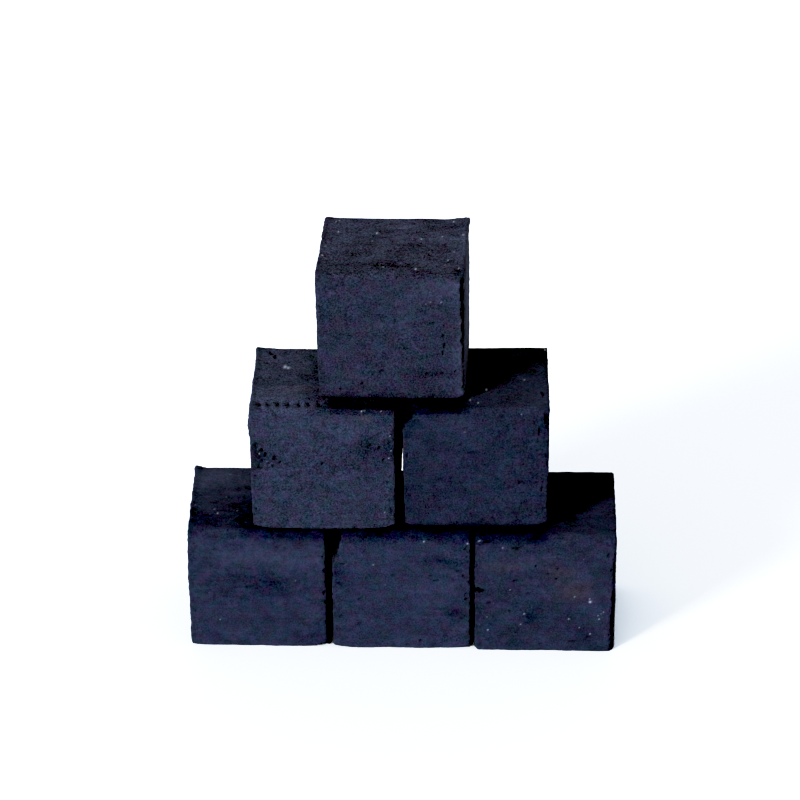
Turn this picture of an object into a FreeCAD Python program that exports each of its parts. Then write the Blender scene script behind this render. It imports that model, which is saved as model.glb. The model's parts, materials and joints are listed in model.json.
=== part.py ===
"""Pyramid of six loose charcoal cubes, stacked three, two and one.

Each cube is cut from an extruded bar of pressed charcoal: a square section with
rounded corners that runs along X, cut off square, with the edges broken round
both cut faces.  Where a cube lost a corner in handling, a small wedge is cut
away.  The top and bottom faces are flat, so each row rests on the one below.

Millimetres, +Z up.  +X runs along the rows and -Y is the front.  The origin is
on the ground, in the middle of the pyramid's outline seen from above.
"""
import FreeCAD, Part
import os
import Sketcher

DOCUMENT_NAME = "CharcoalCubePyramid"
SHEET_NAME = "Dimensions"
PARTS_FOLDER = "parts"

# Driving dimensions that the cubes share, in millimetres.
SHARED_DIMENSIONS = {
    "section_depth": 24.6,
    "die_corner_radius": 1.2,
    "cut_edge_break": 0.45,
    "bottom_row_thickness": 23.8,
    "middle_row_thickness": 24.1,
    "top_row_thickness": 24.4,
    "origin_shift_x": -0.11,
    "origin_shift_y": -2.87,
}

# Each row's height above the ground, as an expression of the rows below it.
ROW_BASE = {
    "bottom": "0 mm",
    "middle": "{0}.bottom_row_thickness * 1 mm",
    "top": "({0}.bottom_row_thickness + {0}.middle_row_thickness) * 1 mm",
}

# One entry per cube: its row, its cut length along X, the X of its middle, the Y
# of its front face and its turn about Z in degrees.  X and Y are counted from
# the middle and the front of a cube that stands square at the pyramid's centre.
CUBES = {
    "bottom_left_cube": ("bottom", 24.7, -26.2, -12.2, 0.3),
    "bottom_centre_cube": ("bottom", 24.8, 0.0, -12.5, 0.2),
    "bottom_right_cube": ("bottom", 25.3, 26.1, -12.8, -0.4),
    "middle_left_cube": ("middle", 25.6, -14.0, -10.6, 0.5),
    "middle_right_cube": ("middle", 25.5, 13.4, -10.0, 0.6),
    "top_cube": ("top", 25.8, -1.5, -6.2, -1.0),
}
CUBE_FIELDS = ("cut_length", "middle_x", "front_y", "turn")

# Wedges missing from front corners: cube, side, level, then the wedge's size
# along the bar, its size up the face and how deep it goes in from the front.
CHIPS = [
    ("bottom_centre_cube", "left", "top", 1.3, 2.6, 3.5),
    ("bottom_right_cube", "left", "bottom", 1.9, 1.2, 6.0),
    ("middle_right_cube", "left", "top", 2.6, 3.2, 5.0),
    ("middle_right_cube", "right", "bottom", 1.7, 1.3, 4.0),
]
CHIP_FIELDS = ("along", "up", "deep")


def chip_stem(chip):
    """Name a chip after its cube and its corner, such as top_cube_left_top."""
    return "_".join(chip[:3])


def make_sheet(doc):
    """Write every driving dimension as a named cell of one sheet."""
    values = dict(SHARED_DIMENSIONS)
    for name, cube in CUBES.items():
        for field, value in zip(CUBE_FIELDS, cube[1:]):
            values[name + "_" + field] = value
    for chip in CHIPS:
        for field, value in zip(CHIP_FIELDS, chip[3:]):
            values[chip_stem(chip) + "_" + field] = value
    sheet = doc.addObject("Spreadsheet::Sheet", SHEET_NAME)
    for line, (alias, value) in enumerate(values.items(), start=1):
        sheet.set("A%d" % line, alias)
        sheet.set("B%d" % line, str(value))
        sheet.setAlias("B%d" % line, alias)
    doc.recompute()
    return sheet


def cell(alias):
    """Return the expression that reads one named cell of the sheet."""
    return SHEET_NAME + "." + alias


def origin_plane(body, role):
    """Return the body's own origin plane that has this role."""
    for feature in body.Origin.OriginFeatures:
        if feature.Role == role:
            return feature
    raise RuntimeError("the body has no plane " + role)


def new_sketch(body, name, plane_role):
    """Add a sketch on one of the body's own origin planes."""
    sketch = body.newObject("Sketcher::SketchObject", name)
    sketch.AttachmentSupport = (origin_plane(body, plane_role), [""])
    sketch.MapMode = "FlatFace"
    return sketch


def draw_polygon(sketch, points):
    """Draw a closed polygon whose corners stay joined."""
    count = len(points)
    for index, start in enumerate(points):
        end = points[(index + 1) % count]
        line = Part.LineSegment(FreeCAD.Vector(*start, 0), FreeCAD.Vector(*end, 0))
        sketch.addGeometry(line, False)
    for index in range(count):
        following = (index + 1) % count
        sketch.addConstraint(Sketcher.Constraint("Coincident", index, 2, following, 1))


def drive_size(sketch, label, kind, start, end, value, expression):
    """Set a distance from one point to another and bind it to the sheet."""
    index = sketch.addConstraint(Sketcher.Constraint(kind, *start, *end, value))
    sketch.renameConstraint(index, label)
    sketch.setExpression("Constraints." + label, expression)


def add_bar(doc, body, name):
    """Extrude the square section along X, half to each side of the middle."""
    row, cut_length = CUBES[name][:2]
    depth = SHARED_DIMENSIONS["section_depth"]
    thickness = SHARED_DIMENSIONS[row + "_row_thickness"]
    sketch = new_sketch(body, name + "_section", "YZ_Plane")
    draw_polygon(sketch, [(-depth / 2, 0), (depth / 2, 0), (depth / 2, thickness), (-depth / 2, thickness)])
    base, back, top, front = range(4)
    for line in (base, top):
        sketch.addConstraint(Sketcher.Constraint("Horizontal", line))
    for line in (back, front):
        sketch.addConstraint(Sketcher.Constraint("Vertical", line))
    sketch.addConstraint(Sketcher.Constraint("Symmetric", base, 1, base, 2, -1, 1))
    drive_size(sketch, "Depth", "DistanceX", (base, 1), (base, 2), depth, cell("section_depth"))
    drive_size(sketch, "Thickness", "DistanceY", (back, 1), (back, 2), thickness,
               cell(row + "_row_thickness"))
    pad = body.newObject("PartDesign::Pad", name + "_bar")
    pad.Profile = sketch
    pad.SideType = "Symmetric"
    pad.Length = cut_length
    pad.setExpression("Length", cell(name + "_cut_length"))
    doc.recompute()
    return pad


def edge_names(shape, is_wanted):
    """Name the edges of a shape that is_wanted accepts."""
    return ["Edge%d" % number for number, edge in enumerate(shape.Edges, start=1) if is_wanted(edge)]


def is_long_edge(edge):
    """Tell whether an edge joins the two cut faces."""
    first, last = edge.Vertexes[0].Point, edge.Vertexes[-1].Point
    return first.x * last.x < 0


def is_cut_edge(edge):
    """Tell whether an edge lies in one of the cut faces."""
    first, last = edge.Vertexes[0].Point, edge.Vertexes[-1].Point
    return first.x * last.x > 0


def round_die_corners(doc, body, name, bar):
    """Round the bar's four long edges, as the die leaves them."""
    fillet = body.newObject("PartDesign::Fillet", name + "_die_corners")
    fillet.Base = (bar, edge_names(bar.Shape, is_long_edge))
    fillet.Radius = SHARED_DIMENSIONS["die_corner_radius"]
    fillet.setExpression("Radius", cell("die_corner_radius"))
    doc.recompute()
    return fillet


def break_cut_edges(doc, body, name, rounded_bar):
    """Break the edges round both cut faces."""
    chamfer = body.newObject("PartDesign::Chamfer", name + "_cut_edges")
    chamfer.Base = (rounded_bar, edge_names(rounded_bar.Shape, is_cut_edge))
    chamfer.Size = SHARED_DIMENSIONS["cut_edge_break"]
    chamfer.setExpression("Size", cell("cut_edge_break"))
    doc.recompute()
    return chamfer


def cut_chip(doc, body, chip):
    """Cut a missing wedge out of a front corner of the cube."""
    name, side, level, along, up, deep = chip
    row, cut_length = CUBES[name][:2]
    stem = chip_stem(chip)
    thickness = SHARED_DIMENSIONS[row + "_row_thickness"]
    is_left = side == "left"
    is_low = level == "bottom"
    corner_x = -cut_length / 2 if is_left else cut_length / 2
    corner_z = 0.0 if is_low else thickness
    along_x = corner_x + along if is_left else corner_x - along
    up_z = corner_z + up if is_low else corner_z - up

    sketch = new_sketch(body, stem + "_outline", "XZ_Plane")
    sketch.setExpression("AttachmentOffset.Base.z", cell("section_depth") + " * 0.5 mm")
    draw_polygon(sketch, [(corner_x, corner_z), (along_x, corner_z), (corner_x, up_z)])
    edge_along, edge_across, edge_up = range(3)
    sketch.addConstraint(Sketcher.Constraint("Horizontal", edge_along))
    sketch.addConstraint(Sketcher.Constraint("Vertical", edge_up))

    origin = (-1, 1)
    corner = (edge_along, 1)
    along_end = (edge_along, 2)
    up_end = (edge_across, 2)
    reach = (corner, origin) if is_left else (origin, corner)
    width = (corner, along_end) if is_left else (along_end, corner)
    rise = (corner, up_end) if is_low else (up_end, corner)
    drive_size(sketch, "Reach", "DistanceX", *reach, cut_length / 2, cell(name + "_cut_length") + " / 2")
    drive_size(sketch, "Along", "DistanceX", *width, along, cell(stem + "_along"))
    drive_size(sketch, "Up", "DistanceY", *rise, up, cell(stem + "_up"))
    if is_low:
        sketch.addConstraint(Sketcher.Constraint("PointOnObject", *corner, -1))
    else:
        drive_size(sketch, "Level", "DistanceY", origin, corner, thickness, cell(row + "_row_thickness"))

    volume_before = body.Shape.Volume
    pocket = body.newObject("PartDesign::Pocket", stem + "_chip")
    pocket.Profile = sketch
    pocket.Length = deep
    pocket.setExpression("Length", cell(stem + "_deep"))
    doc.recompute()
    if body.Shape.Volume >= volume_before:
        raise RuntimeError("the chip cut nothing: " + stem)


def make_cube(doc, name):
    """Build one cube in its own body and stand it in its place in the pyramid."""
    row = CUBES[name][0]
    body = doc.addObject("PartDesign::Body", name)
    body.Label = name
    bar = add_bar(doc, body, name)
    rounded_bar = round_die_corners(doc, body, name, bar)
    break_cut_edges(doc, body, name, rounded_bar)
    for chip in CHIPS:
        if chip[0] == name:
            cut_chip(doc, body, chip)
    place_x = "(%s + %s) * 1 mm" % (cell(name + "_middle_x"), cell("origin_shift_x"))
    place_y = "(%s + %s / 2 + %s) * 1 mm" % (
        cell(name + "_front_y"), cell("section_depth"), cell("origin_shift_y"))
    place_z = ROW_BASE[row].format(SHEET_NAME)
    turn = cell(name + "_turn")
    body.setExpression("Placement", "placement(vector(%s; %s; %s); rotation(vector(0; 0; 1); %s))" % (
        place_x, place_y, place_z, turn))
    doc.recompute()
    return body


def check_document(doc):
    """Stop if any object of the document failed to build."""
    for item in doc.Objects:
        if "Invalid" in item.State or "Error" in item.State:
            raise RuntimeError("failed to build: " + item.Name)


def check_cube(body):
    """Stop if a cube is missing, invalid or not one solid."""
    shape = body.Shape
    if shape.isNull() or not shape.isValid() or len(shape.Solids) != 1:
        raise RuntimeError("not one valid solid: " + body.Label)


doc = FreeCAD.newDocument(DOCUMENT_NAME)
make_sheet(doc)
cubes = [make_cube(doc, name) for name in CUBES]
check_document(doc)
os.makedirs(PARTS_FOLDER, exist_ok=True)
for body in cubes:
    check_cube(body)
    body.Shape.exportStep(os.path.join(PARTS_FOLDER, body.Label + ".step"))
    box = body.Shape.BoundBox
    print("%-20s %.1f mm3  x %.2f..%.2f  y %.2f..%.2f  z %.2f..%.2f" % (
        body.Label, body.Shape.Volume, box.XMin, box.XMax, box.YMin, box.YMax, box.ZMin, box.ZMax))
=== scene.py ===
"""Looks for the pyramid of loose charcoal cubes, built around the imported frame.

Every cube is one sculpted surface.  A dense square grid is laid over the cube's
box and pushed in along rays until it meets the shape: a bar with rounded long
edges, broken cut edges, shaved corners, bites, pits, notches and grain.  The
same pass writes colour masks on the points, and one shader reads them.
Lengths inside the sculpting functions are millimetres in the cube's own axes:
x along the bar, y towards the back, z up, counted from the box's centre.
"""
import itertools
import json
import math

import bpy
import numpy as np
from mathutils import Matrix, Vector


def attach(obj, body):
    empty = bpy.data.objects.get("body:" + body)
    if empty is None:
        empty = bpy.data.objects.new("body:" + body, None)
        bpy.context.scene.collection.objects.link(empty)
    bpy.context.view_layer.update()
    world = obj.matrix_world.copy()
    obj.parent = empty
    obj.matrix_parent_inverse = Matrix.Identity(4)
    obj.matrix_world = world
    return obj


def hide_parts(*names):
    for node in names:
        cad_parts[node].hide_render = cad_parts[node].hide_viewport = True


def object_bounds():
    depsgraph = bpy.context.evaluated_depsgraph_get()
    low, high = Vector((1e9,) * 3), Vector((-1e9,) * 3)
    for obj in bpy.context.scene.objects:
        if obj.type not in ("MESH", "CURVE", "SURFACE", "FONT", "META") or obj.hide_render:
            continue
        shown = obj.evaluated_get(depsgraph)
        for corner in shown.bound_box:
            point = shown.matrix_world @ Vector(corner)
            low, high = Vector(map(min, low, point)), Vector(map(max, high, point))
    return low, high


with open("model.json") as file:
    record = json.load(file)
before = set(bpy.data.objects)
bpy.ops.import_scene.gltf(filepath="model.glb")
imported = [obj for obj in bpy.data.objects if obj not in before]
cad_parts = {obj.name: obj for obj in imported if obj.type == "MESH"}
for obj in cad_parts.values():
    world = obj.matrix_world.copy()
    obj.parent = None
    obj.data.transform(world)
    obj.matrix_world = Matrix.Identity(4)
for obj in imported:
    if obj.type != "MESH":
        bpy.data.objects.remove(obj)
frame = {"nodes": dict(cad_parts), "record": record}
cad_low, cad_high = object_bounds()

MM = 0.001
GRID = 128                # squares along each edge of a cube's face
CORE = 4.0                # how deep the rays start under every face

# Shape of every cube, in millimetres.
# Each long edge has its radius in the middle of the bar and what it gains at the cut faces.
LONG_EDGES = {
    ("back", "top"): (0.22, 0.0),
    ("front", "top"): (0.95, 0.4),
    ("front", "bottom"): (0.4, 1.2),
    ("back", "bottom"): (0.7, 0.6),
}
EDGE_WAVER = 0.1          # how much those radii wander
CUT_RADIUS = 0.25         # rounding of the edges round the cut faces
CUT_EDGE_WIDTH = 1.3      # how far from those edges they crumble
CUT_CRUMBLE = 0.22        # how far crumbling rounds them off
CRUMBLE_DEPTH = 0.12      # how far it eats into the skin
SPOT_DEPTH = 1.2          # how deep a mark on a face reaches round its edges

# Relief of the skin, in millimetres.
SKIN_INSET = 0.02         # mean depth of the skin under the box
CUT_FACE_PROUD = 0.12     # how far the rough cut faces stand out of it
LUMP_HEIGHT = 0.09
DIMPLE_HEIGHT = 0.035
PRESSED_GRAIN = 0.022     # grain of the faces that the die pressed
STREAK_HEIGHT = 0.03
CUT_GRAIN = 0.05
SAW_HEIGHT = 0.035
EDGE_LUMP_HEIGHT = 0.09
CUT_PITS = 150            # random pits on a cut face
PRESSED_PITS = 70         # the same on a pressed face, before the cube's own grain
PIT_SIZE = 0.11
PIT_SIZE_GAIN = 0.26
PIT_STRETCH = 1.6         # how much longer a pit may be along the bar
NIBBLE_BAND = 1.1         # how far in from an upright edge small bites lie
NIBBLE_DEPTH = 0.7        # as a share of their size

# How ragged the rims of marks are, as a share of the local noise.
MARK_RAGGED = 0.3
PIT_RAGGED = 0.38
BITE_RAGGED = 0.22
SHAVE_RAGGED = 0.5
BURR_RAGGED = 0.5
DENT_RAGGED = 0.15

# Cubes that rest on others, in millimetres.
PEAK_LIMIT = 0.15         # how high grains may stand on a top that another cube rests on
REST_LIFT = 0.2           # how far up the underside of a resting cube is, clear of those grains
LIFT_FADE = 1.4           # how many times that the underside's own relief is raised

# The walk along the rays: where it starts outside the box, its steps and the share of each.
WALK_FROM = 0.8
WALK_STEPS = 26
WALK_SHARE = 0.8
SAME_PLANE = 0.05         # how near a flat chip's plane a point counts as lying in it

# How black the painted shade is, from 0 to 1, in each kind of hollow, and how much darker the whole cut
# faces are.
PIT_SHADE = 0.8
SMALL_PIT_SHADE = 0.35
NIBBLE_SHADE = 0.55
CRUMBLE_SHADE = 0.3
BITE_SHADE = 0.5
CUT_FACE_DARKENING = 0.15

# Painted shade along a front top edge under a resting cube, where that cube shades it, and the clouding
# of the tops.
LEDGE_SHADE_TONE = 0.45          # how much darker the painted shade is
LEDGE_SHADE_TAPER = 0.4          # how quickly it ends sideways
LEDGE_SHADE_RAGGED = 0.16
LEDGE_SHADE_FADES = 3.5          # how far back it starts to fade, in millimetres
LEDGE_SHADE_ENDS = 7.0           # and how far back it ends
LEDGE_SHADE_END_RAGGED = 1.2
TOP_UNEVEN = 0.5          # how strongly the tops are clouded

# Ash specks.
ASH_SIZE = 0.55           # how much of a speck's radius is bright
ASH_STRENGTH = 0.7        # how far a speck turns to the colour of ash
TOP_ASH_STRENGTH = 0.92   # the same on the top faces, which the key light only grazes
TOP_SPECK_STRETCH = 2.1   # how much deeper than wide a speck on a top face is

# Face name: axis of the normal, its sign, then the axes of the two face coordinates.
FACES = {
    "right": (0, 1, 1, 2),
    "left": (0, -1, 1, 2),
    "back": (1, 1, 0, 2),
    "front": (1, -1, 0, 2),
    "top": (2, 1, 0, 1),
    "bottom": (2, -1, 0, 1),
}

# What sets each cube apart; a kind of mark that a cube has none of is left out.
# Places on a face are (x, z) on the front and back, (x, y) on the top and (y, z)
# on the sides, with z counted from the underside.
#   seed, tone, grain, tint: of its noise; how bright, contrasty and coloured it is
#   top_light_and_dust, dry: how much paler the top is, partly painted light that the tops catch and
#       partly dust, and how greyish and uneven it is
#   nibbles: small bites along a front upright edge: side, from z, to z, how many
#   painted_shade: shade painted along the front top edge under a resting cube: from x, to x, reach below
#       the edge, strength
#   carries: the stretch of x over which another cube rests or slides
#   edges:   long edges that differ from those above
#   corners: how far a corner of the box is moved
#   shaves:  flat chips: a point, the outward normal, how ragged, how dark its painted shade is
#   bites:   rounded chips: the middle and three radii
#   burrs:   raised lips: the middle, radius and height
#   pits, tone_and_light_patches, porous, rust: by face: place, two radii, then depth, change or
#   strength; the patches hold tone changes together with painted highlights and painted shade
#   ash:     by face: place, radius
CUBES = {
    "top_cube": dict(
        seed=3, tone=1.02, grain=1.06, tint=(1.03, 1.01, 0.99), top_light_and_dust=0.42, dry=1.0,
        nibbles=[(-1, 0, 16, 30), (-1, 16, 24, 5), (1, 2, 22, 14)],
        edges={("front", "bottom"): (1, 0.4)},
        corners={"left_front_top": (-0.3, 0, 0), "left_front_bottom": (0.1, -0.3, 0),
                 "right_back_bottom": (0.3, 0, 0), "right_back_top": (0.15, 0, 0.1),
                 "right_front_bottom": (0.2, -0.3, 0)},
        shaves=[((12.05, -12.3, 8), (0.8, -0.6, 0.02), 0.35, 1),
                ((-12.6, -12.3, 6), (-0.75, -0.66, 0), 0.25, 0.3)],
        bites=[((12.9, -12.3, -12.2), (1.4, 1.2, 1.3))],
        burrs=[((12.8, 12, 12.1), (2.4, 1.5, 1.6), 0.35), ((-12.7, 12, 12.1), 1.3, 0.15)],
        porous={"front": [
            (8.2, 5.7, 4.6, 0.7, 1), (-12.4, 7, 0.9, 6, 0.9),
        ], "top": [
            (4.8, 2, 2.6, 3.2, 0.9), (-6, -2, 5, 4, 0.5),
        ]},
        pits={"top": [
            (1.2, -7.3, 1.7, 0.7, 0.6), (-2.4, -7.6, 1.8, 0.45, 0.45), (3.6, -7.2, 0.7, 0.35, 0.4),
            (3.3, 9.8, 0.5, 0.3, 0.4), (3.5, 2.9, 1, 0.3, 0.35), (5.4, 0.4, 0.8, 0.35, 0.4),
            (6.8, -3.3, 0.4, 0.4, 0.4), (12.1, -9.4, 0.5, 0.8, 0.4),
        ], "front": [
            (9.2, 12.9, 0.22, 0.35, 0.5), (9.4, 11.2, 0.16, 0.7, 0.45), (9.1, 9.6, 0.2, 0.55, 0.5),
            (8.4, 9.3, 0.25, 0.15, 0.35), (6.3, 5.5, 0.3, 0.18, 0.3), (8.8, 5.7, 0.4, 0.25, 0.35),
            (11.4, 6, 0.3, 0.25, 0.35), (-5.2, 3.2, 0.3, 0.35, 0.45), (-5, 2.5, 0.2, 0.2, 0.3),
            (-3.2, 5.2, 0.3, 0.2, 0.3), (-9.1, 2.1, 0.25, 0.2, 0.3), (0.8, 15.7, 0.12, 0.4, 0.3),
        ]},
        # Painted light among these patches: the rear of the top painted brighter as a sheen, the whole
        # right face painted lighter, a painted highlight on the front's upper right corner and along its
        # top edge, and painted shade along the front's bottom edge.
        tone_and_light_patches={"top": [
            (0, 8.5, 13, 4.5, 0.12), (0, -9.4, 14, 2.6, -0.36), (0.6, -7.4, 4, 1.1, -0.6),
            (12.3, -9, 0.8, 3.5, -0.5), (4.5, 2, 2.4, 3, -0.2),
        ], "right": [
            (0, 12, 14, 14, 1.3),
        ], "front": [
            (11.6, 22.4, 1.6, 1.4, 0.4), (8, 21.6, 5, 2.4, 0.22), (8, 5.6, 5, 0.7, -0.25),
            (2, 0.4, 16, 0.9, -0.35),
        ]},
        ash={"top": [
            (-10.9, 10.3, 0.2), (-10.3, 10.9, 0.15), (-10.1, 5.9, 0.2), (-3.2, 5.7, 0.25),
            (-3.8, 2.3, 0.16), (-12, -0.1, 0.2), (-12.3, -3.9, 0.2), (4.8, 3.4, 0.22), (8.5, 4.4, 0.2),
            (10.3, 10.9, 0.18), (12.2, 5.3, 0.25), (10.8, -1.9, 0.2), (6.4, -2.1, 0.16),
            (9.9, -5.3, 0.18), (9.4, -7.4, 0.16), (-2, -7.7, 0.22), (-1.3, -8.5, 0.2),
            (-0.9, -5.2, 0.14), (4.4, -9.2, 0.25), (11.9, -8.6, 0.2),
        ], "front": [
            (7.1, 19.5, 0.18), (8.9, 19.5, 0.18), (6.2, 19.1, 0.12), (6.8, 12.5, 0.13), (-0.1, 12, 0.12),
            (4.9, 0.9, 0.13), (12.2, 15.5, 0.18),
        ]},
        rust={"top": [(0, 0, 20, 20, 0.06)]},
    ),
    "middle_left_cube": dict(
        seed=17, tone=1.11, grain=1.12, tint=(1.02, 1.02, 0.99), top_light_and_dust=0.8, dry=0.8,
        nibbles=[(-1, 1, 22, 26), (1, 1, 20, 22)], painted_shade=[(2.3, 13, 1.05, 1)], carries=(-1.8, 13),
        edges={("front", "top"): (1.4, 0.3), ("front", "bottom"): (0.25, 1.5)},
        corners={"left_back_top": (0, 0, 0.15), "right_back_top": (1.15, 0, 0),
                 "right_back_bottom": (0.75, 0, 0)},
        bites=[((-12.5, -12.5, 3.2), (1.7, 1, 1.9)), ((-12.9, -12, 1), (1, 1.3, 1.2))],
        burrs=[((-12.6, 12, 12), (2.6, 1.6, 1.6), 0.25), ((-12.8, -11, 9.5), (2.5, 7, 2.6), 0.28),
               ((12.8, 10.5, -1.5), 4, 0.45), ((12.8, 10.5, 5), 4.5, 0.3)],
        porous={"front": [
            (9.6, 16, 4.2, 3, 1), (-9, 14.2, 3.4, 1.4, 1), (-4, 14.2, 2.5, 0.6, 0.8),
            (-11.8, 8, 0.8, 5, 0.7),
        ]},
        pits={"front": [
            (-12.3, 14.4, 0.6, 0.9, 0.7), (-11.6, 12.5, 0.9, 0.3, 0.5), (-11.8, 17.5, 0.5, 0.35, 0.5),
            (-10.3, 15.3, 0.3, 0.6, 0.5), (-11.9, 13.3, 0.6, 0.6, 0.5), (-10.9, 14, 0.45, 0.55, 0.5),
            (-11, 16.2, 0.4, 0.5, 0.5), (-12.2, 16.9, 0.4, 0.4, 0.5), (-8.5, 14.7, 0.35, 0.4, 0.4),
            (-8.9, 13, 0.5, 0.2, 0.35), (-9.8, 13.4, 0.3, 0.3, 0.35), (-7.6, 13.7, 0.25, 0.3, 0.35),
            (-6.2, 13.5, 0.2, 0.2, 0.3), (-5.4, 13.8, 0.2, 0.15, 0.3), (10.2, 16.8, 0.4, 0.3, 0.35),
            (10.9, 14.3, 0.25, 0.4, 0.35), (8.6, 17.2, 0.3, 0.2, 0.3), (12, 17.6, 0.3, 0.4, 0.3),
            (-0.1, 13.5, 0.25, 0.35, 0.35), (-12.2, 4.2, 0.25, 0.6, 0.4), (10.8, 2.1, 0.8, 0.15, 0.3),
        ], "top": [
            (-10.1, 10.6, 0.5, 0.7, 0.45), (-9.4, 8.9, 0.35, 0.9, 0.4),
        ]},
        # Painted light among these patches: a painted highlight along the front's upper left edge, and
        # painted shade on the top along the top cube's left side.
        tone_and_light_patches={"front": [
            (9.6, 15.8, 4.2, 2.8, -0.4), (2, 13.2, 6, 1, -0.12), (-5, 21.8, 8, 2.2, 0.15),
            (3, 19, 8, 5, 0.05), (10.5, 22.3, 2.4, 1.2, -0.2), (-9.5, 14.3, 3, 0.8, -0.25),
            (-11.8, 15, 1.2, 2, -0.3),
        ], "top": [
            (-0.6, 2, 2.3, 14, -0.8), (-6, 1, 4, 2.5, -0.15), (-8.5, -7, 4, 3.5, 0.3),
            (-7, 5, 1.2, 0.7, 0.7),
        ]},
        ash={"top": [
            (-7.5, 5, 0.5), (-6.9, 4.5, 0.4), (7, -12, 0.18), (7.5, -11.8, 0.16), (10.6, -12, 0.13),
        ], "front": [
            (12, 19.2, 0.15), (12.2, 16.2, 0.16), (11.8, 14.7, 0.16), (-9.9, 13.9, 0.16),
            (11, 3.5, 0.18), (12.3, 2.7, 0.15), (-11.6, 15.3, 0.22), (-12.1, 16.1, 0.25),
        ]},
        rust={"top": [(-4.8, -3.7, 2.6, 1, 0.28)], "front": [(7.6, 22.6, 1, 0.7, 0.3)]},
    ),
    "middle_right_cube": dict(
        seed=29, tone=0.84, grain=0.7, tint=(0.96, 1.0, 1.05), top_light_and_dust=0.28, dry=0.3,
        nibbles=[(-1, 3, 19, 12), (1, 4, 16, 10), (1, 16, 24, 14)], painted_shade=[(-13, -3.6, 1.05, 1)],
        carries=(-13, -1), edges={("front", "top"): (1.5, 0.3), ("front", "bottom"): (1.3, 0.4)},
        corners={"right_front_top": (0, 0, 0.1), "left_front_bottom": (-0.1, 0, 0),
                 "left_front_top": (-0.4, 0, 0), "right_back_top": (0.25, 0, 0.35)},
        shaves=[((-11.5, -12.3, 9.9), (-0.77, -0.3, 0.57), 0.7, 0.45)],
        bites=[((12.8, -12.3, -12), (1.5, 1.4, 1.5)), ((-12.8, -12.3, -12.1), (1.3, 1.2, 1.2)),
               ((13.1, -11.4, 10.2), (0.8, 1.1, 1.5)), ((13, 2.6, 12.2), (0.7, 1.2, 0.6))],
        burrs=[((12.7, -11.9, 12), 0.9, 0.35)],
        pits={"front": [
            (7.8, 9.5, 0.35, 0.3, 0.4), (12.4, 22.4, 0.3, 1.1, 0.5), (-12.2, 15.2, 0.2, 0.6, 0.4),
            (-12.4, 8.1, 0.2, 0.4, 0.4), (11.2, 20, 0.12, 1, 0.3),
        ], "top": [
            (11.8, -6.2, 0.3, 1.1, 0.4),
        ]},
        # Painted light among these patches: painted shade on the front's upper left corner under the top
        # cube, painted shade along the front's bottom edge, and the front right of the top painted
        # lighter where the key light falls on it.
        tone_and_light_patches={"front": [
            (-3, 21.5, 7, 1.5, 0.15), (-12.6, 23, 2.6, 3, -0.4), (12.5, 22, 1, 3, -0.15),
            (0, 0.5, 16, 0.9, -0.25),
        ], "top": [
            (10, -9, 4, 5, 0.22),
        ]},
        ash={"top": [
            (1.8, -4.3, 0.25), (8.5, -0.7, 0.2), (-1, -8.2, 0.2), (0.4, -9.3, 0.2), (12.4, 11.3, 0.25),
        ], "front": [
            (-1.9, 19.8, 0.16), (8, 23.4, 0.16),
        ]},
    ),
    "bottom_left_cube": dict(
        seed=41, tone=1.05, grain=0.56, tint=(0.97, 0.99, 1.02), top_light_and_dust=0.3, dry=0.5,
        nibbles=[(-1, 2, 23, 24), (1, 1, 20, 20)], painted_shade=[(1.5, 13, 2.1, 1), (-13, 13, 1.4, 0.2)],
        carries=(-11.5, 13), edges={("front", "top"): (2.3, 0), ("front", "bottom"): (0.25, 0.9)},
        corners={"right_back_top": (0.5, 0, 0), "right_back_bottom": (0.5, 0, 0),
                 "left_back_top": (-0.3, 0, 0.15), "left_front_top": (-0.04, 0, 0),
                 "left_front_bottom": (0, 0.35, 0)},
        bites=[((12.3, -12.4, -11.9), (1.7, 1.2, 1))],
        burrs=[((-12, 12, 11.8), 1, 0.35), ((12.6, -10, -11.5), (2.5, 1.8, 3), 0.6),
               ((12.6, -12, 0), (2.5, 3, 9), 0.15)],
        porous={"front": [(2, 13, 3.5, 1.8, 0.25)], "top": [(-6, -6, 6, 3, 0.5)]},
        pits={"front": [
            (1.4, 13.7, 0.3, 0.2, 0.2), (-1.5, 12.6, 0.4, 0.2, 0.2),
        ], "top": [
            (-5.9, -3.8, 1.4, 0.2, 0.3), (-9, -5.2, 0.7, 0.25, 0.3),
        ]},
        # Painted light among these patches: painted shade on the top beside the middle left cube.
        tone_and_light_patches={"top": [
            (-5, -6, 11, 7, -0.38), (-7, 8.6, 5, 5, 0.5), (-1, 1, 3, 9, -0.3),
        ], "front": [
            (-4.2, 21.4, 2, 0.6, -0.2), (0, 15, 5, 3, -0.08), (0.8, 12.6, 5.4, 3, -0.28),
            (6, 17.6, 5, 1.6, 0.2), (9, 2.2, 4, 1.2, -0.25), (-8.2, 2.2, 1.6, 1, -0.25),
            (-2, 19.2, 8, 1.5, 0.3), (-5, 15, 4, 1.4, -0.16),
        ]},
        ash={"top": [
            (-8, -3.3, 0.17), (-7.3, -4.8, 0.2), (-6.1, 1.2, 0.14), (-11.5, -1.9, 0.14),
            (-3.9, -4, 0.12), (-5.9, 9.6, 0.14),
        ], "front": [
            (-7, 5.6, 0.16), (6.9, 14, 0.14),
        ]},
    ),
    "bottom_centre_cube": dict(
        seed=53, tone=1.07, grain=0.7, tint=(0.97, 1.0, 1.03), top_light_and_dust=0.0, dry=0.0,
        nibbles=[(-1, 1, 18, 18), (1, 1, 23, 22)], painted_shade=[(-13, 13, 2.1, 1)], carries=(-13, 13),
        edges={("front", "top"): (2.3, 0), ("front", "bottom"): (0.5, 1.1)},
        corners={"right_back_top": (0.5, 0, 0), "right_back_bottom": (0.5, 0, 0)},
        shaves=[((-11.1, -12.4, 9.6), (-0.93, -0.2, 0.3), 0.4, 1)],
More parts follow.
